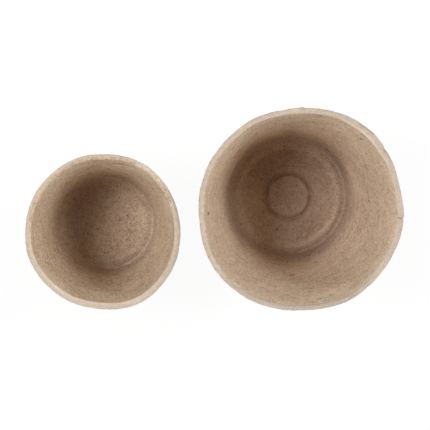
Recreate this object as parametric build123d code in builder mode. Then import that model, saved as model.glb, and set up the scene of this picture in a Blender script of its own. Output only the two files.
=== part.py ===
from build123d import *
import os

# A pair of round plant pots pressed from peat and wood fibre, a small one and a large one.
# Each pot is one moulded skin, with its wall, heel and base in one piece. The base is a shallow
# dish that rises to a ridge and drops outside it into a channel, over the ring that the pot stands on.
# Millimetres, +Z up, the origin on the ground at the middle of the pair.

# Sizes of the large pot
large_rim_diameter = 80.0  # outside, across the mouth
large_height = 80.0
large_skin = 2.2  # thickness of the pressed fibre
large_heel_radius = 2.8  # outside rounding from the base to the wall
large_inside_heel_radius = 0.7

# Base of the large pot, on the underside and from the middle outwards
large_dish_diameter = 23.0  # level middle of the dish
large_dish_lift = 0.3  # of that middle above the ground
large_dish_rounding = 16.0
large_ridge_diameter = 41.0  # crest of the ridge
large_ridge_lift = 1.5  # of the crest above the ground
large_ridge_rounding = 0.6
large_ridge_inside_rounding = 1.2
large_ridge_run = 2.2  # level distance from the crest out to the standing ring
large_channel_rounding = 0.8  # at the inner edge of the standing ring, inside and outside
large_ring_width = 3.4  # from that edge to where the lines of the base and the wall would meet

# Groove about the button in the middle of the large pot's floor
groove_diameter = 18.2
groove_width = 2.6
groove_depth = 1.2

# Sizes of the small pot
small_rim_diameter = 62.0
small_height = 60.0
small_skin = 2.1
small_heel_radius = 2.0
small_inside_heel_radius = 0.5

# Base of the small pot, which has no button
small_dish_diameter = 10.0
small_dish_lift = 0.3
small_dish_rounding = 60.0
small_ridge_diameter = 31.0
small_ridge_lift = 1.0
small_ridge_rounding = 3.0
small_ridge_inside_rounding = 5.0
small_ridge_run = 2.6
small_channel_rounding = 1.5
small_ring_width = 3.1

# Rounding of the two edges of a mouth, as shares of the skin's thickness
rim_inside_share = 0.62
rim_outside_share = 0.28

# How the two stand
gap_between_rims = 6.0  # along X, between the two mouths
small_pot_setback = 10.4  # how far the small pot's axis lies to the -Y side of the large pot's

# How far the room inside a pot is cut past its mouth
overrun = 3.0

# A pot's foot is laid out from its ridge
large_foot_diameter = large_ridge_diameter + 2 * (large_ridge_run + large_ring_width)
small_foot_diameter = small_ridge_diameter + 2 * (small_ridge_run + small_ring_width)

# The box around the pair is centred on the origin
pair_length = small_rim_diameter + gap_between_rims + large_rim_diameter
large_x = (pair_length - large_rim_diameter) / 2
small_x = (small_rim_diameter - pair_length) / 2
large_y = (small_pot_setback + small_rim_diameter / 2 - large_rim_diameter / 2) / 2
small_y = large_y - small_pot_setback


def section_plane(x, y):
    """Upright plane through a pot's axis, where its half section is drawn."""
    return Plane(origin=(x, y, 0), x_dir=(1, 0, 0), z_dir=(0, -1, 0))


def upright_axis(x, y):
    """Axis that a pot's half section is turned about."""
    return Axis((x, y, 0), (0, 0, 1))


def base_corners(dish_diameter, dish_lift, ridge_diameter, ridge_lift, ridge_run):
    """Corners of a base's underside, from its middle to the inner edge of the standing ring."""
    return [
        (0, dish_lift),
        (dish_diameter / 2, dish_lift),
        (ridge_diameter / 2, ridge_lift),
        (ridge_diameter / 2 + ridge_run, 0),
    ]


def raised(corners, skin):
    """The same corners on the floor, one skin higher."""
    return [(radius, level + skin) for radius, level in corners]


def wall_point(foot_diameter, rim_diameter, height, level, skin=0):
    """Point of the wall's outside at a level, or of its inside when a skin is given."""
    flare = (rim_diameter - foot_diameter) / 2 / height
    return (foot_diameter / 2 + flare * level - skin * (1 + flare**2) ** 0.5, level)


def mouth_edges(pot):
    """Edges of a pot's level mouth, the inside one first."""
    return pot.faces().sort_by(Axis.Z)[-1].edges().sort_by(SortBy.RADIUS)


# Large pot
large_base = base_corners(
    large_dish_diameter, large_dish_lift, large_ridge_diameter, large_ridge_lift, large_ridge_run
)
large_wall = (large_foot_diameter, large_rim_diameter, large_height)
with BuildPart() as large_pot:
    with BuildSketch(section_plane(large_x, large_y)):
        with BuildLine():
            outside = FilletPolyline(
                *large_base,
                wall_point(*large_wall, 0),
                wall_point(*large_wall, large_height),
                radius=[large_dish_rounding, large_ridge_rounding, large_channel_rounding, large_heel_radius],
            )
            Polyline(outside @ 1, (0, large_height), outside @ 0)
        make_face()
    revolve(axis=upright_axis(large_x, large_y))

    # Room inside
    with BuildSketch(section_plane(large_x, large_y)):
        with BuildLine():
            inside = FilletPolyline(
                *raised(large_base, large_skin),
                wall_point(*large_wall, large_skin, large_skin),
                wall_point(*large_wall, large_height + overrun, large_skin),
                radius=[
                    large_dish_rounding,
                    large_ridge_inside_rounding,
                    large_channel_rounding,
                    large_inside_heel_radius,
                ],
            )
            Polyline(inside @ 1, (0, large_height + overrun), inside @ 0)
        make_face()
    revolve(axis=upright_axis(large_x, large_y), mode=Mode.SUBTRACT)
    fillet(mouth_edges(large_pot)[0], rim_inside_share * large_skin)
    fillet(mouth_edges(large_pot)[-1], rim_outside_share * large_skin)

    # Half-round groove about the button in the middle of the floor
    floor_level = large_dish_lift + large_skin
    groove_radius = (groove_width**2 / 4 + groove_depth**2) / (2 * groove_depth)
    with BuildSketch(section_plane(large_x, large_y)):
        with Locations((groove_diameter / 2, floor_level - groove_depth + groove_radius)):
            Circle(groove_radius)
    revolve(axis=upright_axis(large_x, large_y), mode=Mode.SUBTRACT)

# Small pot
small_base = base_corners(
    small_dish_diameter, small_dish_lift, small_ridge_diameter, small_ridge_lift, small_ridge_run
)
small_wall = (small_foot_diameter, small_rim_diameter, small_height)
with BuildPart() as small_pot:
    with BuildSketch(section_plane(small_x, small_y)):
        with BuildLine():
            outside = FilletPolyline(
                *small_base,
                wall_point(*small_wall, 0),
                wall_point(*small_wall, small_height),
                radius=[small_dish_rounding, small_ridge_rounding, small_channel_rounding, small_heel_radius],
            )
            Polyline(outside @ 1, (0, small_height), outside @ 0)
        make_face()
    revolve(axis=upright_axis(small_x, small_y))

    # Room inside
    with BuildSketch(section_plane(small_x, small_y)):
        with BuildLine():
            inside = FilletPolyline(
                *raised(small_base, small_skin),
                wall_point(*small_wall, small_skin, small_skin),
                wall_point(*small_wall, small_height + overrun, small_skin),
                radius=[
                    small_dish_rounding,
                    small_ridge_inside_rounding,
                    small_channel_rounding,
                    small_inside_heel_radius,
                ],
            )
            Polyline(inside @ 1, (0, small_height + overrun), inside @ 0)
        make_face()
    revolve(axis=upright_axis(small_x, small_y), mode=Mode.SUBTRACT)
    fillet(mouth_edges(small_pot)[0], rim_inside_share * small_skin)
    fillet(mouth_edges(small_pot)[-1], rim_outside_share * small_skin)

os.makedirs("parts", exist_ok=True)
large_pot.part.label = "large_pot"
export_step(large_pot.part, "parts/large_pot.step")
small_pot.part.label = "small_pot"
export_step(small_pot.part, "parts/small_pot.step")
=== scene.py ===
import logging
import math
from dataclasses import dataclass
from enum import Enum

import bpy
import numpy as np
from mathutils import Matrix, Vector, noise
from mathutils.bvhtree import BVHTree


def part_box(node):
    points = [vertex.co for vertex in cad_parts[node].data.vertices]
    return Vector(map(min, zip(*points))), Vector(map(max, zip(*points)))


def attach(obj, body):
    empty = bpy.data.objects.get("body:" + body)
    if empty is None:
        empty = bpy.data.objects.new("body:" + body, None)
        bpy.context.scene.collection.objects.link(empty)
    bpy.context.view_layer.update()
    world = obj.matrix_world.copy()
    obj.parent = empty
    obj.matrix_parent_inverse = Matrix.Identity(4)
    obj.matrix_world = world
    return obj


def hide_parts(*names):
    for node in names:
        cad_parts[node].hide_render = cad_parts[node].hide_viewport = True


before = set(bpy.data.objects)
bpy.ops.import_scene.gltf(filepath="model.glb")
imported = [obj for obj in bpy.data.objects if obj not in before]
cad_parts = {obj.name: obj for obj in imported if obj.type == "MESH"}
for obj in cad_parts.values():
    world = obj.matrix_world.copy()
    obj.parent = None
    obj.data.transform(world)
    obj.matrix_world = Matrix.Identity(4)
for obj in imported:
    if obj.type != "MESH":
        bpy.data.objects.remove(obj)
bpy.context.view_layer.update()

LOG = logging.getLogger("peat_pots")
MM = 0.001  # one millimetre, in metres
TINY = 1e-6
UP = np.array([0.0, 0.0, 1.0])
MIX_A, MIX_B, MIX_RESULT = 6, 7, 2  # numbers of the colour sockets on a Mix node
# Some shares carry painted light and shade: the pale band at the mouth in part, the shade on the floor and
# on the mouth's top, and the dark of a crack in part
SKIN_SHARES = ("pale_and_lit", "raw_and_shade", "outside", "floor_shade", "ends", "floor")  # what a skin tells its material

Corner = tuple[float, float, float]  # radius from the axis, height and rounding, in mm
Span = tuple[float, float]  # where something begins and where it is full, or its least and its most
Faces = list[tuple[int, ...]]  # point numbers of each face


def linear(hex_colour: str) -> tuple[float, float, float, float]:
    """Turns an sRGB hex colour into linear light.

    Args:
        hex_colour: Colour as "#RRGGBB".

    Returns:
        Red, green, blue and an alpha of one.
    """
    shares = [int(hex_colour[i : i + 2], 16) / 255 for i in (1, 3, 5)]
    light = [c / 12.92 if c <= 0.04045 else ((c + 0.055) / 1.055) ** 2.4 for c in shares]
    return (light[0], light[1], light[2], 1.0)


def add_node(
    tree: bpy.types.NodeTree, kind: str, feeds: dict | None = None, **settings: str
) -> bpy.types.Node:
    """Adds one shader node with its settings and its links.

    Args:
        tree: Node tree of the material or world.
        kind: Blender's type name of the node, without "ShaderNode".
        feeds: Input sockets, by name or number, with an output socket to link or a plain value.
        settings: Attributes of the node and their values.

    Returns:
        The new node.
    """
    node = tree.nodes.new("ShaderNode" + kind)
    for name, value in settings.items():
        setattr(node, name, value)
    for socket, value in (feeds or {}).items():
        if isinstance(value, bpy.types.NodeSocket):
            tree.links.new(value, node.inputs[socket])
        else:
            node.inputs[socket].default_value = value
    return node


def emptied(owner: bpy.types.Material | bpy.types.World) -> bpy.types.NodeTree:
    """Gives a material or world an empty node tree.

    Args:
        owner: The material or world.

    Returns:
        Its node tree.
    """
    owner.use_nodes = True
    owner.node_tree.nodes.clear()
    return owner.node_tree


def add_piece(
    name: str, points: np.ndarray, faces: Faces, material: bpy.types.Material, marks: dict[str, np.ndarray]
) -> bpy.types.Object:
    """Adds one mesh object to the scene.

    Args:
        name: Name of the object and its mesh.
        points: Places in mm, one row each.
        faces: Faces of the mesh.
        material: Its finish.
        marks: What the material reads, a number or a row for each point.

    Returns:
        The object.
    """
    mesh = bpy.data.meshes.new(name)
    mesh.from_pydata((points * MM).tolist(), [], faces)
    for label, values in marks.items():
        kind, key = ("FLOAT_VECTOR", "vector") if values.ndim > 1 else ("FLOAT", "value")
        layer = mesh.attributes.new(label, kind, "POINT")
        layer.data.foreach_set(key, values.astype(np.float32).ravel())
    mesh.shade_smooth()
    mesh.materials.append(material)
    piece = bpy.data.objects.new(name, mesh)
    bpy.context.scene.collection.objects.link(piece)
    return piece


def smooth(values: np.ndarray | float, low: float, high: float) -> np.ndarray:
    """Eases from 0 at low to 1 at high.

    Args:
        values: Numbers to ease.
        low: Where the result is 0.
        high: Where the result is 1; it may lie below low.

    Returns:
        Eased values from 0 to 1.
    """
    share = np.clip((np.asarray(values) - low) / (high - low), 0.0, 1.0)
    return share * share * (3 - 2 * share)


def eased(values: np.ndarray, width: int) -> np.ndarray:
    """Running mean over an odd number of values, weighted towards the middle one."""
    window = np.hanning(width) / np.hanning(width).sum()
    return np.convolve(np.pad(values, width // 2, "edge"), window, "valid")


def running_total(steps: np.ndarray) -> np.ndarray:
    """Sum of all steps before each place, from 0 to the whole."""
    return np.concatenate(([0.0], np.cumsum(steps)))


def lengths_along(line: np.ndarray) -> np.ndarray:
    """Length of a line from its first point to each of its points."""
    return running_total(np.linalg.norm(np.diff(line, axis=0), axis=1))


def rows_at(lengths: np.ndarray, along: np.ndarray, rows: np.ndarray) -> np.ndarray:
    """Rows that are given at some lengths along a line, worked out at others."""
    return np.stack([np.interp(lengths, along, column) for column in rows.T], axis=1)


def angles_from(turn: np.ndarray, degrees: float) -> np.ndarray:
    """Angles in radians measured from a place in degrees, from -pi to pi."""
    return np.angle(np.exp(1j * (turn - math.radians(degrees))))


def rounded_path(corners: list[Corner], step: float) -> np.ndarray:
    """Draws a line through corners, with each corner rounded as far as there is room.

    Args:
        corners: Corners of the line.
        step: Distance between the points of the result, in mm.

    Returns:
        Evenly spaced points, radius and height, in mm.
    """
    run_share, fewest = 0.98, 4  # of a run that roundings may take up, and points on a rounding
    places = np.array([c[:2] for c in corners])
    ways = np.diff(places, axis=0)
    runs = np.linalg.norm(ways, axis=1)
    ways /= runs[:, None]
    before, after = ways[:-1], ways[1:]
    crossed = before[:, 0] * after[:, 1] - before[:, 1] * after[:, 0]
    turns = np.arctan2(crossed, (before * after).sum(axis=1))
    wanted = np.zeros(len(corners))  # length of line that each rounding takes up on both sides
    wanted[1:-1] = [c[2] * math.tan(abs(turn) / 2) for c, turn in zip(corners[1:], turns)]
    room = np.minimum(1.0, run_share * runs / np.maximum(wanted[:-1] + wanted[1:], TINY))
    taken = wanted[1:-1] * np.minimum(room[:-1], room[1:])
    drawn = [places[0]]
    for here, way, turn, length in zip(places[1:], ways, turns, taken):
        if length < TINY:
            drawn.append(here)
            continue
        start = here - way * length
        radius = length / math.tan(turn / 2)
        centre = start + radius * np.array((-way[1], way[0]))
        arm = start - centre
        for part in np.linspace(0, turn, max(fewest, int(abs(turn * radius) / step) + 2)):
            c, s = math.cos(part), math.sin(part)
            drawn.append(centre + np.array((c * arm[0] - s * arm[1], s * arm[0] + c * arm[1])))
    drawn.append(places[-1])
    line = np.array(drawn)
    along = lengths_along(line)
    return rows_at(np.linspace(0, along[-1], int(along[-1] / step) + 1), along, line)


@dataclass(frozen=True)
class Swelling:
    """Smooth random swelling of the pulp: height and width in mm, and a number that sets it apart."""

    height: float
    width: float
    apart: float

    def over(self, points: np.ndarray, seed: float) -> np.ndarray:
        """Heights in mm, above or below 0, at places in mm on the pot with this seed."""
        places = points / self.width + (seed + self.apart)
        return self.height * np.array([noise.fractal(p, 1.0, 2.0, 2) for p in places])


WALL_WAVE = Swelling(0.28, 17.0, 0.0)  # the wall bulges in and out
MOUTH_WAVE = Swelling(0.32, 16.0, 3.0)  # the mouth rises and falls
LUMPS = Swelling(0.10, 6.0, 11.0)
GRIT = Swelling(0.05, 1.8, 23.0)
CRUMBLE = Swelling(0.16, 2.2, 31.0)  # the mouth's edge is uneven in height
FRAY = Swelling(0.10, 1.6, 37.0)  # and in width
TEAR = Swelling(0.4, 1.6, 41.0)  # share by which the depth of a tear varies


@dataclass(frozen=True)
class Groove:
    """Ring pressed into a floor, about the button in its middle. Sizes are in mm."""

    diameter: float
    width: float
    depth: float
    rounding: float
    peat: float = 0.22  # how much more painted shade lies in it
    shade_reach: float = 0.8
    button_unshaded: float = 0.1  # how much less painted shade on the button
    button_edge: float = 2.0


@dataclass(frozen=True)
class FloorCorner:
    """Corner between floor and wall, in mm: how much thicker than the skin it is, and its rounding."""

    thicker: float
    rounding: float


@dataclass(frozen=True)
class ShadePatch:
    """Side of a floor, in degrees, with more painted shade, or with painted light where negative."""

    at: float
    more: float
    across: Span = (-0.1, 0.9)  # shares of the way to the ridge
    edges: Span = (4.0, -1.0)  # mm outside the ridge


@dataclass(frozen=True)
class DishedBase:
    """Base of a pot: a dish, a ridge round it and a channel over the standing ring. Sizes are in mm."""

    dish_diameter: float
    dish_lift: float
    dish_rounding: float
    ridge_diameter: float
    ridge_lift: float
    ridge_rounding: float
    ridge_inside_rounding: float
    ridge_run: float
    channel_rounding: float
    ring_width: float
    thick_corner: FloorCorner
    thin_corner: FloorCorner
    thin_corner_at: float  # degrees, the side of the pot where the fibre lies thinnest in the corner
    floor_shade_share: float  # share of painted shade on the floor and the foot of the wall
    dish_shade: float  # how much more of it lies in the dish
    thin_corner_shade: float  # how much more in the thin corner
    ridge_unshaded: float  # how much less on the ridge
    patch: ShadePatch
    groove: Groove | None = None
    ridge_unshaded_reach: float = 1.1  # of the ridge with less painted shade, to both sides
    dish_edges: Span = (1.0, -1.0)  # outside the ridge
    corner_edges: Span = (0.4, 2.0)
    thin_edges: Span = (-0.3, 0.8)  # cosines from the thin corner's side

    def foot_radius(self) -> float:
        """Where the lines of the wall and the base would meet."""
        return self.ridge_diameter / 2 + self.ridge_run + self.ring_width

    def corners(self, skin: float = 0.0) -> list[Corner]:
        """Corners of the underside, or of the floor where a skin is given.

        Args:
            skin: Thickness of the pressed fibre, or 0 for the underside.

        Returns:
            The corners from the middle outwards.
        """
        height, crest = self.dish_lift + skin, self.ridge_diameter / 2
        drawn = [(0.0, height, 0.0)]
        if self.groove and skin:
            middle, half = self.groove.diameter / 2, self.groove.width / 2
            for radius, depth in ((middle - half, 0.0), (middle, self.groove.depth), (middle + half, 0.0)):
                drawn.append((radius, height - depth, self.groove.rounding))
        drawn.append((self.dish_diameter / 2, height, self.dish_rounding))
        if skin:
            return drawn + [(crest, self.ridge_lift + skin, self.ridge_inside_rounding)]
        ring_edge = (crest + self.ridge_run, 0.0, self.channel_rounding)
        return drawn + [(crest, self.ridge_lift, self.ridge_rounding), ring_edge]

    def thinness(self, turn: np.ndarray) -> np.ndarray:
        """Share of the thin corner at each angle round the axis, in radians."""
        return smooth(np.cos(turn - math.radians(self.thin_corner_at)), *self.thin_edges)

    def floor_shade(self, radius: float, turn: np.ndarray) -> np.ndarray:
        """How much painted shade lies on the floor, most in the groove and least on the ridge.

        Args:
            radius: Distance from the axis.
            turn: Angles round the axis in radians.

        Returns:
            Share from 0 to 1.
        """
        crest = self.ridge_diameter / 2
        beyond = radius - crest
        across = radius / crest * np.cos(turn - math.radians(self.patch.at))
        share = self.patch.more * smooth(across, *self.patch.across) * smooth(beyond, *self.patch.edges)
        share += self.floor_shade_share + self.dish_shade * smooth(beyond, *self.dish_edges)
        share += self.thin_corner_shade * self.thinness(turn) * smooth(beyond, *self.corner_edges)
        share -= self.ridge_unshaded * math.exp(-((beyond / self.ridge_unshaded_reach) ** 2))
        if self.groove:
            inward = self.groove.diameter / 2 - radius
            share -= self.groove.button_unshaded * smooth(inward, 0.0, self.groove.button_edge)
            share += self.groove.peat * math.exp(-((inward / self.groove.shade_reach) ** 2))
        return np.clip(share, 0.0, 1.0)


@dataclass(frozen=True)
class HalfSection:
    """Rings from the middle of the floor, over the mouth, to the middle of the underside, in mm."""

    places: np.ndarray  # radius and height of each ring
    normals: np.ndarray
    thin_places: np.ndarray  # radius and height on the side where the corner is thinnest
    along: np.ndarray  # length along the section
    from_top: np.ndarray  # the same from the top of the mouth, negative on the inside
    outside: np.ndarray  # share
    middles: tuple[float, float]  # heights of the floor and the underside on the axis


@dataclass
class Ring:
    """One ring of a skin while it is shaped: angles in radians, lengths in mm, and shares."""

    turn: np.ndarray
    edge: np.ndarray  # places on the mouth at the same angles
    radius: np.ndarray
    height: np.ndarray
    lift: np.ndarray  # square to the skin
    pale_and_lit: np.ndarray
    raw_and_shade: np.ndarray
    from_top: float  # along the skin, negative on the inside
    outside: float
    near_mouth: float  # share of the crumbly edge
    in_lip: float  # share of the stretch inside that leans


class FlawKind(Enum):
    """Wear and moulding faults at the mouth of a pot."""

    TORN = "outer edge torn off, from a sharp step on"
    CHIP = "bruised inner edge"
    CRACK = "split through the mouth"
    PEAK = "small nib on the edge"
    LIP = "thick inner edge"


@dataclass(frozen=True)
class Flaw:
    """One fault at the mouth: its kind, its place and reach in degrees, and its depth in mm.

    It reaches equally far to both sides, or clockwise from its place where the edge is torn.
    """

    kind: FlawKind
    at: float
    reach: float
    depth: float

    def wear(self, ring: Ring, seed: float) -> None:
        """Leaves the fault on one ring of the skin.

        Args:
            ring: The ring, changed in place.
            seed: Number of the pot.
        """
        away = angles_from(ring.turn, self.at) / math.radians(self.reach)
        near = np.abs(away)
        if self.kind is FlawKind.TORN:
            step = (-0.03, 0.05)  # shares of the reach
            lost, bare, drop = (-1.2, 0.0), (-0.4, 0.15), 0.3  # mm from the top, and mm
            bite = smooth(-away, *step) * np.clip(1 + away, 0, 1)
            depth = self.depth * (1 + TEAR.over(ring.edge, seed))
            ring.radius -= depth * bite * smooth(ring.from_top, *lost) * ring.near_mouth
            raw = np.sqrt(bite) * smooth(ring.from_top, *bare) * ring.near_mouth
            ring.height -= drop * raw
            ring.raw_and_shade += raw
        elif self.kind is FlawKind.LIP:
            full = 0.4  # share of the reach
            ring.radius -= self.depth * smooth(near, 1.0, full) * ring.in_lip
        elif self.kind is FlawKind.CHIP:
            full, paler = 0.2, 0.5
            middle, edges = 1.8, (2.2, 0.8)  # mm inwards from the top, and mm from there
            dent = smooth(near, 1.0, full) * smooth(abs(ring.from_top + middle), *edges)
            ring.lift -= self.depth * dent
            ring.pale_and_lit += paler * dent
        elif self.kind is FlawKind.PEAK:
            ring.radius += self.depth * smooth(near, 1.0, 0.0) * ring.near_mouth * ring.outside
        elif self.kind is FlawKind.CRACK:
            waver, waver_length = 0.5, 1.5  # share of the reach, and mm
            middle, edges = 1.2, (3.6, 1.6)  # mm, as in a chip
            sideways = waver * noise.noise(Vector((ring.from_top / waver_length, seed, 0.0)))
            split = smooth(np.abs(away - sideways), 1.0, 0.0) * smooth(abs(ring.from_top + middle), *edges)
            ring.lift -= self.depth * split
            # The split is darkened with raw fibre: partly broken fibre, partly painted shade in the split
            ring.raw_and_shade += split


@dataclass(frozen=True)
class Bend:
    """One way that the mouth is out of round: lobes, height in mm and place of a lobe in degrees."""

    lobes: int
    amount: float
    turn: float


@dataclass(frozen=True)
class MattFinish:
    """Natural fibre: matt, with a weak gloss and a fine relief."""

    name: str
    relief: float = 0.16  # mm, height of the fine relief
    bump: float = 0.8  # strength of its shading
    roughness: float = 0.93
    gloss: float = 0.2

    def surface(
        self, tree: bpy.types.NodeTree, colour: bpy.types.NodeSocket, height: bpy.types.NodeSocket
    ) -> None:
        """Ends the material in its surface.

        Args:
            tree: Node tree of the material.
            colour: Colour of the surface.
            height: Its fine relief.
        """
        feeds = {"Strength": self.bump, "Distance": self.relief * MM, "Height": height}
        normal = add_node(tree, "Bump", feeds).outputs["Normal"]
        feeds = {"Base Color": colour, "Normal": normal, "Roughness": self.roughness}
        shader = add_node(tree, "BsdfPrincipled", {**feeds, "Specular IOR Level": self.gloss})
        add_node(tree, "OutputMaterial", {"Surface": shader.outputs["BSDF"]})


@dataclass(frozen=True)
class PressedFibre(MattFinish):
    """Peat and wood fibre pulp, sucked onto a mould and dried: matt, mottled and flecked with dark peat."""

    pale: str = "#E3D1BC"  # wood fibre
    middle: str = "#CFB9A2"
    deep: str = "#AB9079"  # where peat shows through
    peat: str = "#6B4E3E"  # dark flecks
    edge: str = "#DACCBB"  # pale fibre at the mouth, laid down the inside partly as painted light
    raw: str = "#8C715C"  # freshly broken fibre
    outside_tint: str = "#E4DAD2"  # the rougher outside keeps more shadow between its fibres
    floor_shade_tint: str = "#BCAFB0"  # painted shade on the floor and the foot of the wall
    mouth_shade_tint: str = "#C3C3C4"  # painted shade on the top of the mouth
    tones: tuple[float, float, float] = (0.39, 0.5, 0.61)  # where deep, middle and pale lie
    broad: float = 12.0  # mm, clouds in the pulp
    mottle: float = 2.4  # mm, clumps of fibre
    grain: float = 0.75  # mm, drawn coarser than the real fibres of 0.1 to 0.3 mm so that it shows
    streak: float = 1.3  # mm, spacing of the faint rings that the mould leaves
    matting: float = 1.7  # mm, width of the meshes between crossing fibres
    thread_share: float = 0.12  # of a mesh, taken up by the fibres round it
    fleck: float = 2.1  # mm, spacing of the flecks
    fleck_free: float = 0.5  # share of the places that stay free of them
    fleck_size: float = 0.24  # of the largest, as a share of the spacing
    fleck_edge: float = 0.09  # softness, likewise
    fleck_cover: float = 0.5  # how far they hide the fibre
    pale_limit: Span = (0.66, 0.99)
    pale_cover: float = 0.55
    pale_uneven: float = 0.7
    raw_cover: float = 0.7
    floor_contrast: float = 0.78  # of the tones on the floor, against those on the wall

    def material(self) -> bpy.types.Material:
        """Builds the node material.

        Returns:
            The material, for a skin that carries the attributes read here.
        """
        made = bpy.data.materials.new(self.name)
        tree = emptied(made)
        place = add_node(tree, "TexCoord").outputs["Object"]
        rings = add_node(tree, "Attribute", attribute_name="rings").outputs["Vector"]
        pale_and_lit, raw_and_shade, outside, floor_shade, ends, floor = (
            add_node(tree, "Attribute", attribute_name=label).outputs["Fac"] for label in SKIN_SHARES
        )

        # Clouds, clumps, grain and rings are added up to one tone
        tone: bpy.types.NodeSocket | float = 0.0
        layers = {}
        for label, size, share, detail, vector in (
            ("broad", self.broad, 0.16, 2.0, place),
            ("mottle", self.mottle, 0.18, 3.0, place),
            ("grain", self.grain, 0.54, 3.0, place),
            ("streak", self.streak, 0.12, 3.0, rings),
        ):
            feeds = {"Vector": vector, "Scale": 1 / (size * MM), "Detail": detail, "Roughness": 0.6}
            layers[label] = add_node(tree, "TexNoise", feeds).outputs["Fac"]
            feeds = {0: layers[label], 1: share, 2: tone}
            tone = add_node(tree, "Math", feeds, operation="MULTIPLY_ADD").outputs[0]

        # The fibre lies closer on the floor, so it differs less there
        low, mean, high = self.tones
        feeds = {"Value": floor, "To Min": 1.0, "To Max": self.floor_contrast}
        calm = add_node(tree, "MapRange", feeds).outputs[0]
        tone = add_node(tree, "Math", {0: tone, 1: mean}, operation="SUBTRACT").outputs[0]
        tone = add_node(tree, "Math", {0: tone, 1: calm, 2: mean}, operation="MULTIPLY_ADD").outputs[0]
        ramp = add_node(tree, "ValToRGB", {"Fac": tone})
        stops = ramp.color_ramp.elements
        stops[0].position, stops[0].color = low, linear(self.deep)
        stops[1].position, stops[1].color = high, linear(self.pale)
        stops.new(mean).color = linear(self.middle)

        # Dark flecks in some of the cells of a random pattern
        cells = add_node(tree, "TexVoronoi", {"Vector": place, "Scale": 1 / (self.fleck * MM)})
        chance = add_node(tree, "SeparateColor", {0: cells.outputs["Color"]}).outputs[0]
        feeds = {"Value": chance, "From Min": self.fleck_free, "To Max": self.fleck_size}
        feeds = {0: add_node(tree, "MapRange", feeds).outputs[0], 1: cells.outputs["Distance"]}
        inside = add_node(tree, "Math", feeds, operation="SUBTRACT").outputs[0]
        feeds = {"Value": inside, "From Max": self.fleck_edge, "To Max": self.fleck_cover}
        flecks = add_node(tree, "MapRange", feeds).outputs[0]

        # The mouth is palest, with an uneven limit: partly paler fibre, partly painted light that fades
        # down the inside
        feeds = {0: layers["mottle"], 1: self.pale_uneven, 2: pale_and_lit}
        uneven = add_node(tree, "Math", feeds, operation="MULTIPLY_ADD").outputs[0]
        low, high = self.pale_limit
        feeds = {"Value": uneven, "From Min": low, "From Max": high, "To Max": self.pale_cover}
        paled = add_node(tree, "MapRange", feeds, interpolation_type="SMOOTHSTEP").outputs[0]

        # Painted shade darkens the rougher outside, the floor and the top of the mouth; a tear shows raw
        # fibre, and a crack raw fibre with painted shade
        bare = add_node(tree, "Math", {0: raw_and_shade, 1: self.raw_cover}, operation="MULTIPLY").outputs[0]
        colour = ramp.outputs["Color"]
        for share, blend, hex_colour in (
            (flecks, "MIX", self.peat),
            (paled, "MIX", self.edge),
            (outside, "MULTIPLY", self.outside_tint),
            (floor_shade, "MULTIPLY", self.floor_shade_tint),
            (ends, "MULTIPLY", self.mouth_shade_tint),
            (bare, "MIX", self.raw),
        ):
            feeds = {0: share, MIX_A: colour, MIX_B: linear(hex_colour)}
            colour = add_node(tree, "Mix", feeds, data_type="RGBA", blend_type=blend).outputs[MIX_RESULT]

        # Fine relief: crossing fibres, grain, clumps and sunken flecks
        feeds = {"Vector": place, "Scale": 1 / (self.matting * MM)}
        meshes = add_node(tree, "TexVoronoi", feeds, feature="DISTANCE_TO_EDGE").outputs["Distance"]
        feeds = {"Value": meshes, "From Max": self.thread_share, "To Min": 0.16, "To Max": 0.0}
        height = add_node(tree, "MapRange", feeds).outputs[0]
        for layer, share in ((layers["grain"], 0.9), (layers["mottle"], 0.8), (flecks, -0.3)):
            feeds = {0: layer, 1: share, 2: height}
            height = add_node(tree, "Math", feeds, operation="MULTIPLY_ADD").outputs[0]
        self.surface(tree, colour, height)
        return made


@dataclass(frozen=True)
class PlantFibre(MattFinish):
    """Plant fibres and crumbs of peat in the pulp: matt, straw to dark brown, each in its own shade."""

    relief: float = 0.03  # mm
    bump: float = 0.5
    roughness: float = 0.85
    gloss: float = 0.25
    shades: tuple[str, ...] = ("#DCCBB0", "#BFA283", "#8F6F54", "#4E392B", "#3A2A20", "#AD6350", "#B98B76")
    grain: float = 0.3  # mm, length of the light and dark spots along a fibre
    spottiness: float = 0.16  # share of all shades that the spots run through

    def material(self) -> bpy.types.Material:
        """Builds the node material.

        Returns:
            The material, for a mesh that carries the shade attribute.
        """
        made = bpy.data.materials.new(self.name)
        tree = emptied(made)
        place = add_node(tree, "TexCoord").outputs["Object"]
        shade = add_node(tree, "Attribute", attribute_name="shade").outputs["Fac"]
        feeds = {"Vector": place, "Scale": 1 / (self.grain * MM), "Detail": 2.0}
        spots = add_node(tree, "TexNoise", feeds).outputs["Fac"]
        feeds = {0: spots, 1: self.spottiness, 2: shade}
        tone = add_node(tree, "Math", feeds, operation="MULTIPLY_ADD").outputs[0]
        tone = add_node(tree, "Math", {0: tone, 1: self.spottiness / 2}, operation="SUBTRACT").outputs[0]
        ramp = add_node(tree, "ValToRGB", {"Fac": tone})
        stops = ramp.color_ramp.elements
        stops[0].color, stops[1].color = linear(self.shades[0]), linear(self.shades[-1])
        for k, hex_colour in enumerate(self.shades[1:-1], 1):
            stops.new(k / (len(self.shades) - 1)).color = linear(hex_colour)
        self.surface(tree, ramp.outputs["Color"], spots)
        return made


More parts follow.
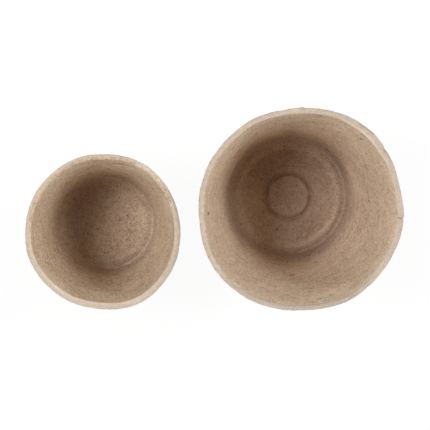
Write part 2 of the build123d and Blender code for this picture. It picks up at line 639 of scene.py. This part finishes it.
@dataclass
class FibrePot:
    """One moulded pot: wall, heel and base in one skin. Sizes are in mm."""

    node: str  # CAD node that it stands for, also the body that it rides on
    slot: str
    finish: PressedFibre
    base: DishedBase
    skin: float
    heel_radius: float
    bends: tuple[Bend, ...]
    flaws: tuple[Flaw, ...]
    seed: float
    rim_inside_rounding: float = 1.3
    rim_outside_rounding: float = 0.5
    mouth_shift: tuple[float, float] = (0.0, 0.0)  # how far the mouth sits off the axis
    base_shift: tuple[float, float] = (0.0, 0.0)
    mouth_flare: float = 0.2  # how far the inside leans out at the mouth, or in where negative
    lip: Span = (6.0, 0.0)  # below the mouth, where it leans
    crumbly: Span = (3.0, 0.0)  # below the mouth, where its edge is uneven
    lean_side: float = -10.0  # degrees, where the mouth leans and its pale band, partly painted light, reaches furthest
    lean_share: float = 0.45  # how much further than the mean
    pale_and_lit_reach: float = 5.2  # how far down the inside the pale band reaches: paler fibre and painted light
    pale_and_lit_least: float = 0.4  # share of that reach on the side where it is shortest
    pale_and_lit_outside: float = 0.6
    bend_growth: float = 1.4  # power of the height with which the pot goes out of round
    wave_growth: float = 3.0  # and uneven in height
    calm_mouth: float = 0.85  # share of the lumps that the mouth's edge lacks
    calm_edges: Span = (3.0, 1.0)  # from the middle of that edge
    calm_floor: float = 0.5  # share of the lumps that the floor lacks
    floor_rise: Span = (0.12, 0.04)  # shares of the height
    shade_rise: Span = (0.3, 0.04)  # the same for the painted shade on it
    outer_edges: Span = (0.15, 0.9)  # past the top of the mouth, for the colour of the outside
    mouth_shade_share: float = 0.58  # how dark the painted shade on the mouth's top is
    more_mouth_shade: float = 0.15  # how much more of it on one side, less where negative
    mouth_shade_side: float = -92.0  # degrees
    mouth_shade_spread: Span = (0.5, 0.97)  # cosines from that side
    mouth_shade_reach: float = 1.2  # how much further in it reaches there
    mouth_shade_inner: Span = (-1.8, -0.8)  # from the top
    mouth_shade_outer: Span = (0.9, 0.3)
    ring_stretch: float = 7.0  # how much longer the mould's rings are than wide
    around: int = 400  # points round the wall
    full_share: float = 0.9  # of the foot's radius; rings further in have fewer points
    most_halvings: int = 4
    ring_turn: float = 0.3  # radians, most that the section turns between two rings
    ring_steps: Span = (0.24, 1.0)  # along the section
    floor_step: float = 0.62  # longest on the floor
    step_growth: float = 0.006  # of that step up the wall, per square mm

    def __post_init__(self) -> None:
        """Takes the place, height and mouth of the pot from its CAD node."""
        low, high = (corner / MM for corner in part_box(self.node))
        self.x, self.y = (low.x + high.x) / 2, (low.y + high.y) / 2
        self.height = high.z
        self.mouth_radius = (high.x - low.x) / 2
        self.vertices = np.zeros((0, 3))
        self.faces: Faces = []

    def outside_corners(self) -> list[Corner]:
        """Corners of the outside, from the middle of the base to the mouth."""
        heel = (self.base.foot_radius(), 0.0, self.heel_radius)
        return self.base.corners() + [heel, (self.mouth_radius, self.height, self.rim_outside_rounding)]

    def inside_corners(self, corner: FloorCorner) -> list[Corner]:
        """Corners of the inside, one skin away from the outside.

        Args:
            corner: Corner between the floor and the wall.

        Returns:
            The corners from the middle of the floor to the mouth.
        """
        foot = self.base.foot_radius()
        flare = (self.mouth_radius - foot) / self.height
        depth = self.skin * math.hypot(1, flare)
        height = self.skin + corner.thicker
        heel = (foot + flare * height - depth, height, corner.rounding)
        mouth = (self.mouth_radius - depth, self.height, self.rim_inside_rounding)
        return self.base.corners(self.skin) + [heel, mouth]

    def section(self) -> HalfSection:
        """Draws the half section and spaces its rings, closer on the floor and where it bends.

        Returns:
            The rings of the section.
        """
        fine = 0.05  # mm between the points of the drawn section
        ridge_start = self.base.ridge_diameter / 2 - 1.0  # the two corners differ from here on
        corner_top = 0.15 * self.height  # and up to here
        outwards = 1e-4  # weight that picks the outermost point of a level mouth
        paths, lengths, marks = [], [], []
        for corner in (self.base.thick_corner, self.base.thin_corner):
            path = rounded_path(self.inside_corners(corner) + self.outside_corners()[::-1], fine)
            along = lengths_along(path)
            ridge = along[np.argmax(path[:, 0] > ridge_start)]
            marks.append([0.0, ridge, along[np.argmax(path[:, 1] > corner_top)], along[-1]])
            paths.append(path)
            lengths.append(along)
        path, along = paths[0], lengths[0]
        ways = np.gradient(path, along, axis=0)
        ways /= np.linalg.norm(ways, axis=1)[:, None]
        heading = np.unwrap(np.arctan2(ways[:, 1], ways[:, 0]))
        turning = eased(np.abs(np.gradient(heading, along)), 25)
        spacing = np.clip(self.ring_turn / np.maximum(turning, TINY), *self.ring_steps)
        spacing = eased(np.minimum(spacing, self.floor_step + self.step_growth * path[:, 1] ** 2), 41)
        count = running_total(np.diff(along) / spacing[1:])
        rings = np.interp(np.linspace(0, count[-1], int(count[-1]) + 1), count, along)[1:-1]
        top = along[np.argmax(path[:, 1] + outwards * path[:, 0])]
        return HalfSection(
            places=rows_at(rings, along, path),
            normals=rows_at(rings, along, np.stack([-ways[:, 1], ways[:, 0]], axis=1)),
            thin_places=rows_at(np.interp(rings, *marks), lengths[1], paths[1]),
            along=rings,
            from_top=rings - top,
            outside=smooth(rings, top - self.skin, top),
            middles=(path[0][1], path[-1][1]),
        )

    def angles(self) -> np.ndarray:
        """Places of the points round the wall, closer together at a crack.

        Returns:
            Angles in radians, rising from 0.
        """
        crowding, reach = 5, math.radians(1.6)
        turn = np.linspace(0, 2 * math.pi, 7201)
        crowd = np.ones_like(turn)
        for flaw in self.flaws:
            if flaw.kind is FlawKind.CRACK:
                crowd += crowding * np.exp(-((angles_from(turn, flaw.at) / reach) ** 2))
        total = running_total((crowd[1:] + crowd[:-1]) / 2)
        return np.interp(np.linspace(0, total[-1], self.around + 1)[:-1], total, turn)

    def shaped(self, section: HalfSection, k: int, turn: np.ndarray) -> dict[str, np.ndarray]:
        """Places the points of one ring, with the warp, lumps and wear of the real pot.

        Args:
            section: The half section.
            k: Number of the ring.
            turn: Angles of its points in radians.

        Returns:
            The points in mm as "spots", and for each what the material reads.
        """
        (radius, height), (thin_radius, thin_height) = section.places[k], section.thin_places[k]
        outside, from_top = section.outside[k], section.from_top[k]
        rise, below = max(height / self.height, 0.0), self.height - height
        arc = np.stack([np.cos(turn), np.sin(turn), np.zeros_like(turn)], axis=1)
        thin = self.base.thinness(turn)
        lean = 1 + self.lean_share * np.cos(turn - math.radians(self.lean_side))
        # The pale band from the mouth down: partly paler fibre, partly painted light, longest on the
        # leaning side
        reach = self.pale_and_lit_reach * np.maximum(lean, self.pale_and_lit_least) if from_top < 0 else self.pale_and_lit_outside
        ring = Ring(
            turn=turn,
            edge=arc * self.mouth_radius,
            radius=radius + thin * (thin_radius - radius),
            height=height + thin * (thin_height - height),
            lift=np.zeros_like(turn),
            pale_and_lit=np.maximum(np.zeros_like(turn), 1 - abs(from_top) / reach),
            raw_and_shade=np.zeros_like(turn),
            from_top=from_top,
            outside=outside,
            near_mouth=float(smooth(below, *self.crumbly)),
            in_lip=(1 - outside) * float(smooth(below, *self.lip)),
        )

        # The mouth is out of round, less and less towards the foot
        for bend in self.bends:
            lobes = np.cos(bend.lobes * (turn - math.radians(bend.turn)))
            ring.radius += bend.amount * rise**self.bend_growth * lobes
        ring.radius += self.mouth_flare * lean * ring.in_lip
        ring.radius += rise * WALL_WAVE.over(ring.edge + UP * height, self.seed)
        ring.height += rise**self.wave_growth * MOUTH_WAVE.over(ring.edge, self.seed)

        # Lumps in the pulp; the face that lies on the outside of the mould is rougher, with its own lumps
        other_side = 200 * round(float(outside))
        where = arc * radius + UP * (height + other_side)
        ring.lift += (1 + outside) * (LUMPS.over(where, self.seed) + GRIT.over(where, self.seed))
        ring.lift *= 1 - self.calm_mouth * smooth(abs(from_top + self.skin / 2), *self.calm_edges)
        on_floor = (1 - outside) * float(smooth(rise, *self.floor_rise))
        ring.lift *= 1 - self.calm_floor * on_floor

        # Crumbly edge of the mouth, and its wear
        if ring.near_mouth > 0:
            ring.height += ring.near_mouth * CRUMBLE.over(ring.edge, self.seed)
            ring.radius += ring.near_mouth * FRAY.over(ring.edge + 5 * UP * outside, self.seed)
        for flaw in self.flaws:
            flaw.wear(ring, self.seed)

        normal = section.normals[k]
        shift = (1 - rise) * np.array(self.base_shift) + rise * np.array(self.mouth_shift)
        spots = arc * (ring.radius + normal[0] * ring.lift)[:, None]
        spots += np.array([self.x + shift[0], self.y + shift[1], 0.0])
        spots[:, 2] = np.maximum(ring.height + normal[1] * ring.lift, 0.0)
        flat = (spots - np.array([self.x, self.y, 0.0])) / self.ring_stretch
        flat[:, 2] = section.along[k]
        # Painted shade on the top of the mouth, more or less of it on one side
        side = smooth(np.cos(turn - math.radians(self.mouth_shade_side)), *self.mouth_shade_spread)
        ends = (self.mouth_shade_share + self.more_mouth_shade * side) * smooth(from_top, *self.mouth_shade_outer)
        return {
            "spots": spots,
            "rings": flat * MM,
            "pale_and_lit": np.clip(ring.pale_and_lit, 0, 1),
            "raw_and_shade": np.clip(ring.raw_and_shade, 0, 1),
            "outside": np.full_like(turn, smooth(from_top, *self.outer_edges)),
            "floor_shade": (1 - outside) * smooth(rise, *self.shade_rise) * self.base.floor_shade(radius, turn),
            "ends": ends * smooth(from_top + self.mouth_shade_reach * side, *self.mouth_shade_inner),
            "floor": np.full_like(turn, on_floor),
        }

    @staticmethod
    def skin_faces(counts: list[int]) -> Faces:
        """Joins the rings into one closed skin.

        Args:
            counts: Number of points in each ring; the two middle points follow the last ring.

        Returns:
            Faces that look away from the fibre.
        """
        starts = running_total(np.array(counts)).astype(int).tolist()
        total, last = starts[-1], starts[-2]
        faces: Faces = [(total, j, (j + 1) % counts[0]) for j in range(counts[0])]
        for a, n, b, m in zip(starts, counts, starts[1:], counts[1:]):
            if n == m:
                faces += [(a + j, b + j, b + (j + 1) % n, a + (j + 1) % n) for j in range(n)]
                continue
            for j in range(min(n, m)):
                after = (j + 1) % min(n, m)
                if m > n:
                    low, mid, high = b + 2 * j, b + 2 * j + 1, b + (2 * j + 2) % m
                    faces += [(a + j, low, mid), (a + j, mid, a + after), (a + after, mid, high)]
                else:
                    low, mid, high = a + 2 * j, a + 2 * j + 1, a + (2 * j + 2) % n
                    faces += [(low, b + j, mid), (mid, b + j, b + after), (mid, b + after, high)]
        faces += [(last + j, total + 1, last + (j + 1) % counts[-1]) for j in range(counts[-1])]
        return faces

    def build(self) -> bpy.types.Object:
        """Makes the pot's mesh, dresses it and puts it on its body.

        Returns:
            The pot.
        """
        section, turn = self.section(), self.angles()
        full = self.full_share * self.base.foot_radius()
        halvings = np.floor(np.log2(full / section.places[:, 0])) + 1
        halvings = np.clip(halvings, 0, self.most_halvings).astype(int)
        rings = [self.shaped(section, k, turn[:: 2**halving]) for k, halving in enumerate(halvings)]
        counts = [len(ring["spots"]) for ring in rings]
        x, y = self.x + self.base_shift[0], self.y + self.base_shift[1]
        for end, outside in ((0, 0.0), (-1, 1.0)):
            point = {label: np.zeros(1) for label in SKIN_SHARES}
            point["spots"] = np.array([[x, y, section.middles[end]]])
            point["rings"] = np.array([[0.0, 0.0, section.along[end] * MM]])
            point["outside"] += outside
            point["floor_shade"] += (1 - outside) * self.base.floor_shade(0.0, np.zeros(1))
            point["floor"] += 1 - outside
            rings.append(point)
        marks = {label: np.concatenate([ring[label] for ring in rings]) for label in rings[0]}
        self.vertices, self.faces = marks.pop("spots"), self.skin_faces(counts)
        pot = add_piece(self.node + "_moulded", self.vertices, self.faces, self.finish.material(), marks)
        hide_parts(self.node)
        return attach(pot, self.node)


@dataclass(frozen=True)
class Speck:
    """A crumb or fibre in its own place. Sizes are in mm."""

    at: tuple[float, float, float]  # from the pot's axis and the ground
    long: float
    wide: float
    shade: float  # share along the shades of its finish
    heading: float = 0.0  # degrees from +X

    def way(self) -> Vector:
        """Direction along the speck, with a slope that differs from one heading to the next."""
        turn = math.radians(self.heading)
        return Vector((math.cos(turn), math.sin(turn), 0.3 * math.sin(3 * turn)))


@dataclass
class SurfaceFibres:
    """Fibres and crumbs of peat that lie half sunk in the skin of a pot. Sizes are in mm."""

    pot: FibrePot
    finish: PlantFibre
    fibres: int
    crumbs: int
    specks: tuple[Speck, ...]
    fibre_length: Span = (1.2, 4.2)
    fibre_thickness: Span = (0.10, 0.2)
    fibre_shade: float = 0.54  # of the darkest, as a share along the shades
    fibre_shading: tuple[float, float] = (1.2, 2.2)  # makes pale ones more common than dark ones
    fibre_curl: tuple[float, float] = (0.28, 0.12)  # radians a step, for the whole fibre and each step
    fibre_lift: tuple[float, float] = (0.9, 1.6)  # of its middle, and how much less of its ends
    fibre_taper: float = 0.75
    crumb_width: Span = (0.35, 0.95)
    crumb_shade: Span = (0.26, 0.46)
    crumb_breadth: Span = (0.5, 1.0)  # as shares of its width
    crumb_ragged: Span = (0.8, 1.15)
    crumb_levels: tuple[tuple[float, float], ...] = ((1.0, -0.25), (0.86, 0.16), (0.45, 0.3))
    ground_clearance: float = 0.5  # none lie where the pot stands
    mouth_clearance: float = 1.5  # nor on its mouth

    def __post_init__(self) -> None:
        """Starts an empty mesh and the random numbers."""
        self.chance = np.random.default_rng(int(self.pot.seed))
        self.points: list[Vector] = []
        self.faces: Faces = []

    def build(self) -> bpy.types.Object:
        """Lays the fibres and crumbs on the pot, which is built by then, in one mesh.

        Returns:
            The mesh, riding on the pot's body.
        """
        self.tree = BVHTree.FromPolygons([Vector(v) for v in self.pot.vertices], self.pot.faces)
        shades: list[float] = []
        for speck in (*self.specks, *self.scattered()):
            if speck.long > 2 * speck.wide:
                self.lay_fibre(speck)
            else:
                self.set_crumb(speck)
            shades += [speck.shade] * (len(self.points) - len(shades))
        points, marks = np.array(self.points, np.float32), {"shade": np.array(shades)}
        piece = add_piece(self.pot.node + "_fibres", points, self.faces, self.finish.material(), marks)
        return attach(piece, self.pot.node)

    def scattered(self) -> list[Speck]:
        """Picks places for the fibres and crumbs, evenly over the skin.

        Returns:
            The fibres, then the crumbs.
        """
        corners = np.array([self.pot.vertices[list(face[:3])] for face in self.pot.faces])
        sides = corners[:, 1:] - corners[:, :1]
        area = np.linalg.norm(np.cross(sides[:, 0], sides[:, 1]), axis=1)
        area[corners[:, :, 2].min(axis=1) < self.ground_clearance] = 0.0
        area[corners[:, :, 2].max(axis=1) > self.pot.height - self.mouth_clearance] = 0.0
        laid = []
        for pick in self.chance.choice(len(area), self.fibres + self.crumbs, p=area / area.sum()):
            at = tuple(corners[pick].mean(axis=0) - np.array([self.pot.x, self.pot.y, 0.0]))
            heading = self.chance.uniform(0, 360)
            if len(laid) < self.fibres:
                size = (self.chance.uniform(*self.fibre_length), self.chance.uniform(*self.fibre_thickness))
                shade = self.fibre_shade * self.chance.beta(*self.fibre_shading)
            else:
                size = (self.chance.uniform(*self.crumb_width),) * 2
                shade = self.chance.uniform(*self.crumb_shade)
            laid.append(Speck(at, *size, float(shade), heading))
        return laid

    def settle(self, near: Vector, way: Vector) -> tuple[Vector, Vector, Vector]:
        """Finds the place on the skin nearest to another, its normal, and a direction turned along it."""
        spot, normal, _, _ = self.tree.find_nearest(near)
        return spot, normal, (way - normal * way.dot(normal)).normalized()

    def close(self, first: int, sides: int, flip: bool) -> None:
        """Joins the newest points, which go round in rings, into a closed skin.

        Args:
            first: Number of the first of those points.
            sides: Number of points in a ring.
            flip: Whether the rings go round the other way.
        """
        rings = np.arange(first, len(self.points)).reshape(-1, sides).tolist()
        for low, high in zip(rings, rings[1:]):
            for a, b, c, d in zip(low, low[1:] + low[:1], high[1:] + high[:1], high):
                self.faces.append((a, d, c, b) if flip else (a, b, c, d))
        ends = (rings[0], rings[-1][::-1]) if flip else (rings[-1], rings[0][::-1])
        self.faces += [tuple(end) for end in ends]

    def lay_fibre(self, speck: Speck) -> None:
        """Lays one curved fibre along the skin, with both ends sunk into it.

        Args:
            speck: Place and size of the fibre.
        """
        steps, sides = 7, 4
        thick = speck.wide / 2
        way = speck.way()
        middle = Vector(speck.at) + Vector((self.pot.x, self.pot.y, 0.0))
        spot, normal, way = self.settle(middle - way * speck.long / 2, way)
        curl = self.chance.normal(0, self.fibre_curl[0])
        first = len(self.points)
        for k in range(steps):
            from_middle = abs(2 * k / (steps - 1) - 1)
            lift = thick * (self.fibre_lift[0] - self.fibre_lift[1] * from_middle**2)
            size = thick * (1 - self.fibre_taper * from_middle**3)
            across = normal.cross(way).normalized()
            for side in range(sides):
                turn = 2 * math.pi * side / sides
                point = spot + normal * (lift + size * math.cos(turn))
                self.points.append(point + across * (size * math.sin(turn)))
            bend = curl + self.chance.normal(0, self.fibre_curl[1])
            way = Matrix.Rotation(bend, 3, normal) @ way
            spot, normal, way = self.settle(spot + way * (speck.long / (steps - 1)), way)
        self.close(first, sides, flip=True)

    def set_crumb(self, speck: Speck) -> None:
        """Sets one flat crumb of peat into the skin.

        Args:
            speck: Place and size of the crumb.
        """
        sides = 7
        width = speck.wide / 2
        middle = Vector(speck.at) + Vector((self.pot.x, self.pot.y, 0.0))
        spot, normal, way = self.settle(middle, speck.way())
        across = normal.cross(way)
        breadth = self.chance.uniform(*self.crumb_breadth)
        first = len(self.points)
        for reach, lift in self.crumb_levels:
            for side in range(sides):
                turn = 2 * math.pi * side / sides
                size = width * reach * self.chance.uniform(*self.crumb_ragged)
                point = spot + way * (size * math.cos(turn)) + across * (size * breadth * math.sin(turn))
                self.points.append(point + normal * (width * lift))
        self.close(first, sides, flip=False)


@dataclass(frozen=True)
class Softbox:
    """One soft lamp, far off."""

    way: tuple[float, float, float]  # direction to its middle
    strength: float
    edges: Span  # cosines from its middle


@dataclass
class Studio:
    """White floor, soft light and the camera above the pots. Sizes are in mm."""

    camera_at: tuple[float, float, float] = (-27.4, 62.3, 930.0)
    camera_aim: tuple[float, float, float] = (3.23, -7.39, 0.0)
    lens: float = 185.3
    sensor: float = 36.0
    sight: Span = (10.0, 20000.0)  # how near and how far the camera sees
    floor_size: float = 6000.0
    floor_drop: float = 0.05  # keeps the floor clear of the faces that stand on it
    floor_colour: str = "#F7F7F5"
    floor_white: float = 0.94  # share of plain white in what is seen of it; the rest keeps the shadow
    room: Softbox = Softbox((0.0, 0.0, 1.0), 0.88, (0.47, 0.26))  # low down all round
    softboxes: tuple[Softbox, ...] = (
        Softbox((-0.509, 0.12, 0.852), 18.0, (0.970, 0.990)),
        Softbox((0.672, 0.262, 0.693), 10.3, (0.965, 0.979)),
        Softbox((0.029, -0.794, 0.607), 2.6, (0.939, 0.952)),
    )

    def build(self) -> None:
        """Makes the floor, the light and the camera."""
        self.floor()
        self.sky()
        self.camera()
        bpy.context.scene.view_settings.view_transform = "Standard"

    def white_to_the_eye(self, tree: bpy.types.NodeTree) -> bpy.types.NodeSocket:
        """Tells the rays that show the background from those that light the object.

        Args:
            tree: Node tree to add to.

        Returns:
            Socket that is one for camera, glossy and transmission rays.
        """
        path = add_node(tree, "LightPath")
        seen = path.outputs["Is Camera Ray"]
        for ray in ("Is Glossy Ray", "Is Transmission Ray"):
            seen = add_node(tree, "Math", {0: seen, 1: path.outputs[ray]}, operation="MAXIMUM").outputs[0]
        return seen

    def floor(self) -> None:
        """Lays the floor of white paper, matt, so that it shows nothing but a faint shadow."""
        made = bpy.data.materials.new("white_paper_sweep")
        tree = emptied(made)
        paper = add_node(tree, "BsdfDiffuse", {"Color": linear(self.floor_colour)})
        white = add_node(tree, "Emission", {"Color": (1, 1, 1, 1), "Strength": 1.0})
        feeds = {0: self.white_to_the_eye(tree), 1: self.floor_white}
        share = add_node(tree, "Math", feeds, operation="MULTIPLY").outputs[0]
        feeds = {0: share, 1: paper.outputs["BSDF"], 2: white.outputs["Emission"]}
        mixed = add_node(tree, "MixShader", feeds)
        add_node(tree, "OutputMaterial", {"Surface": mixed.outputs["Shader"]})
        half, low = self.floor_size / 2, -self.floor_drop
        corners = np.array([(-half, -half, low), (half, -half, low), (half, half, low), (-half, half, low)])
        floor = add_piece("studio_floor", corners, [(0, 1, 2, 3)], made, {})

    def sky(self) -> None:
        """Sets the softboxes and the light of the room, and white where the sky is seen."""
        world = bpy.data.worlds.new("studio_room")
        tree = emptied(world)
        way = add_node(tree, "TexCoord").outputs["Generated"]
        light: bpy.types.NodeSocket | float = 0.0
        for lamp in (self.room, *self.softboxes):
            feeds = {0: way, 1: lamp.way}
            cosine = add_node(tree, "VectorMath", feeds, operation="DOT_PRODUCT").outputs["Value"]
            low, high = lamp.edges
            feeds = {"Value": cosine, "From Min": low, "From Max": high, "To Max": lamp.strength}
            share = add_node(tree, "MapRange", feeds, interpolation_type="SMOOTHSTEP").outputs[0]
            light = add_node(tree, "Math", {0: share, 1: light}, operation="ADD").outputs[0]
        feeds = {0: self.white_to_the_eye(tree), 2: light, 3: 1.0}  # factor and the two numbers to mix
        strength = add_node(tree, "Mix", feeds).outputs[0]
        glow = add_node(tree, "Background", {"Color": (1, 1, 1, 1), "Strength": strength})
        add_node(tree, "OutputWorld", {"Surface": glow.outputs["Background"]})
        bpy.context.scene.world = world

    def camera(self) -> None:
        """Puts the camera above the pots, with the top of the picture towards +Y."""
        place, aim = Vector(self.camera_at), Vector(self.camera_aim)
        back = (place - aim).normalized()
        up = (Vector((0, 1, 0)) - back * back.y).normalized()
        turn = Matrix((up.cross(back), up, back)).transposed().to_4x4()
        made = bpy.data.cameras.new("camera")
        made.sensor_width, made.lens = self.sensor, self.lens
        made.clip_start, made.clip_end = (distance * MM for distance in self.sight)
        camera = bpy.data.objects.new("camera", made)
        camera.matrix_world = Matrix.Translation(place * MM) @ turn
        bpy.context.scene.collection.objects.link(camera)
        bpy.context.scene.camera = camera


def large_pot() -> FibrePot:
    """Sizes, wear and finish of the large pot.

    Returns:
        The pot, not yet built.
    """
    base = DishedBase(
        dish_diameter=23.0, dish_lift=0.3, dish_rounding=16.0,
        ridge_diameter=41.0, ridge_lift=1.5, ridge_rounding=0.6, ridge_inside_rounding=1.2, ridge_run=2.2,
        channel_rounding=0.8, ring_width=3.4,
        thick_corner=FloorCorner(1.0, 4.2), thin_corner=FloorCorner(-0.3, 0.6), thin_corner_at=-25.0,
        # Painted shade on the floor, deepest in the groove and the thin corner, with painted light on the
        # patch's side
        floor_shade_share=0.38, dish_shade=0.32, thin_corner_shade=0.34, ridge_unshaded=0.34,
        patch=ShadePatch(216.0, -0.42),
        groove=Groove(diameter=19.0, width=2.4, depth=1.3, rounding=0.6),
    )
    return FibrePot(
        node="large_pot",
        slot="large_pot_fibre",
        finish=PressedFibre("pressed_peat_fibre_large"),
        base=base,
        skin=2.2,
        heel_radius=2.8,
        bends=(
            Bend(2, 0.31, 36.7), Bend(3, 0.20, -42.1), Bend(4, 0.38, -40.2), Bend(5, 0.12, -15.9),
            Bend(6, 0.19, -10.4), Bend(7, 0.10, -3.1), Bend(8, 0.08, -16.3), Bend(12, 0.07, -3.0),
        ),
        flaws=(
            Flaw(FlawKind.LIP, 46.0, 24.0, 1.0),
            Flaw(FlawKind.TORN, 56.6, 11.3, 0.4),
            Flaw(FlawKind.TORN, 36.9, 9.0, 0.35),
            Flaw(FlawKind.CHIP, 229.5, 4.5, 0.6),
            Flaw(FlawKind.CRACK, -4.8, 0.5, 0.4),
            Flaw(FlawKind.PEAK, 89.5, 2.4, 0.35),
        ),
        seed=4.0,
        mouth_shift=(-0.18, -0.23),
    )


def small_pot() -> FibrePot:
    """Sizes and finish of the small pot, whose peat is a little darker.

    Returns:
        The pot, not yet built.
    """
    # The floor's tint is painted shade
    finish = PressedFibre(
        "pressed_peat_fibre_small", pale="#E4D2BC", middle="#CCB69E", deep="#A38870", floor_shade_tint="#BCB7CC"
    )
    base = DishedBase(
        dish_diameter=10.0, dish_lift=0.3, dish_rounding=60.0,
        ridge_diameter=31.0, ridge_lift=1.0, ridge_rounding=3.0, ridge_inside_rounding=5.0, ridge_run=2.6,
        channel_rounding=1.5, ring_width=3.1,
        thick_corner=FloorCorner(0.5, 2.6), thin_corner=FloorCorner(-0.4, 0.6), thin_corner_at=-35.0,
        # Painted shade on the floor, more on the patch's side
        floor_shade_share=0.1, dish_shade=0.1, thin_corner_shade=0.22, ridge_unshaded=0.08,
        patch=ShadePatch(158.0, 0.5),
    )
    return FibrePot(
        node="small_pot",
        slot="small_pot_fibre",
        finish=finish,
        base=base,
        skin=2.1,
        heel_radius=2.0,
        bends=(
            Bend(2, 0.13, -70.6), Bend(3, 0.30, -54.0), Bend(4, 0.17, 41.7),
            Bend(6, 0.09, -2.0), Bend(7, 0.06, -5.0), Bend(8, 0.09, 18.2),
        ),
        flaws=(),
        seed=57.0,
        rim_inside_rounding=0.9,
        rim_outside_rounding=0.35,
        mouth_shift=(0.24, 0.12),
        base_shift=(1.0, -0.8),
        mouth_flare=-0.14,
        lean_side=-80.0,
        lean_share=1.5,
        pale_and_lit_reach=3.2,
        # The painted shade on the mouth's top fades out towards the large pot, as painted light where the
        # large pot shades the mouth
        mouth_shade_share=0.48,
        more_mouth_shade=-0.48,
        mouth_shade_side=12.0,
    )


def main() -> None:
    """Builds the two pots, what lies on their skins, and the studio."""
    logging.basicConfig(level=logging.INFO, format="%(name)s: %(message)s")
    straw, brown, dark, red, pink = 0.0, 0.5, 0.6, 0.95, 1.0  # shares along the shades of plant fibre
    large_specks = (
        Speck((23.8, 26.4, 67.6), 1.1, 1.1, 0.47),
        Speck((-2.0, 21.0, 3.2), 0.7, 0.6, dark),
        Speck((-1.6, 19.6, 3.2), 0.7, 0.7, dark),
        Speck((-3.9, -14.0, 3.2), 1.7, 0.35, dark, -60.0),
        Speck((-10.2, -2.2, 2.6), 0.9, 0.8, dark),
        Speck((-36.0, -2.2, 70.4), 2.2, 0.8, red, 90.0),
        Speck((-0.4, -30.3, 37.8), 4.6, 0.8, pink, -5.0),
    )
    small_specks = (
        Speck((10.1, 1.5, 2.1), 1.5, 0.4, dark, -10.0),
        Speck((9.2, -7.8, 2.1), 0.6, 0.6, dark),
        Speck((14.2, -7.0, 2.1), 0.8, 0.7, brown),
        Speck((0.2, -13.2, 2.1), 1.4, 0.3, brown, 80.0),
        Speck((1.1, -13.1, 2.1), 1.4, 0.3, brown, 85.0),
        Speck((0.7, -13.1, 2.1), 1.4, 0.3, straw, 85.0),
        Speck((15.6, -13.8, 10.5), 0.7, 0.6, brown),
    )
    for skin in (
        SurfaceFibres(large_pot(), PlantFibre("plant_fibre_large_pot"), 420, 120, large_specks),
        SurfaceFibres(small_pot(), PlantFibre("plant_fibre_small_pot"), 230, 75, small_specks),
    ):
        for piece in (skin.pot.build(), skin.build()):
            LOG.info("%s: %d faces", piece.name, len(piece.data.polygons))
    Studio().build()
    LOG.info("studio ready")


if __name__ == "__main__":
    main()
